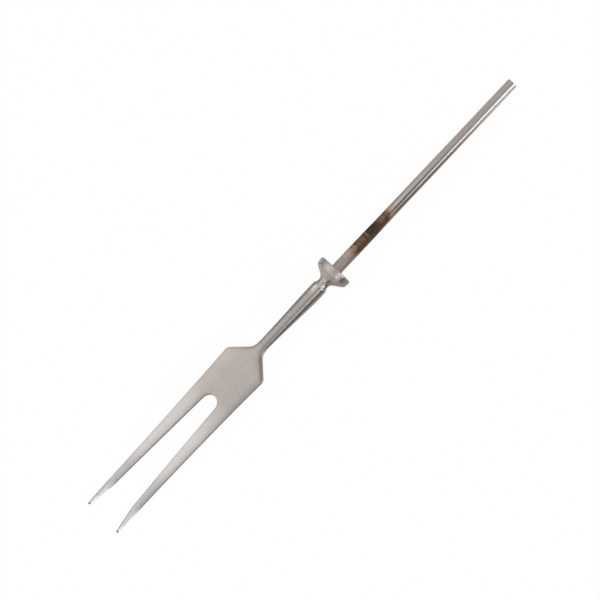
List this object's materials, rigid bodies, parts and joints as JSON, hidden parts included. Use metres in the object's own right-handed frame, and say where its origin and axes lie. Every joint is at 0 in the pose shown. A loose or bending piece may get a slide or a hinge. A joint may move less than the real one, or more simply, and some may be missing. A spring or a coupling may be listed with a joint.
{
  "type": "carving fork without handle",
  "caption": "Forged carving fork with long tines, flat head, tapered neck and flared oval bolster, on a bare square tang butt-welded from a stub and a rod.",
  "frame": {"origin": "middle of the tang in the bolster's back face, where the front of a handle seats", "axes": "+X along the tang, away from the bolster; the tines point along -X; +Z is the upper face of the head"},
  "size_m": [0.3231, 0.0282, 0.017],
  "materials": {
    "forged_steel": "satin brushed stainless steel with heat tint near the weld",
    "weld_scale": "dark, rough weld metal with scale",
    "rod_steel": "drawn steel bar, dull at the weld and bright towards the free end"
  },
  "bodies": {
    "root": {"forged_fork": "forged_steel", "butt_weld": "weld_scale", "tang_rod": "rod_steel"}
  },
  "joints": []
}
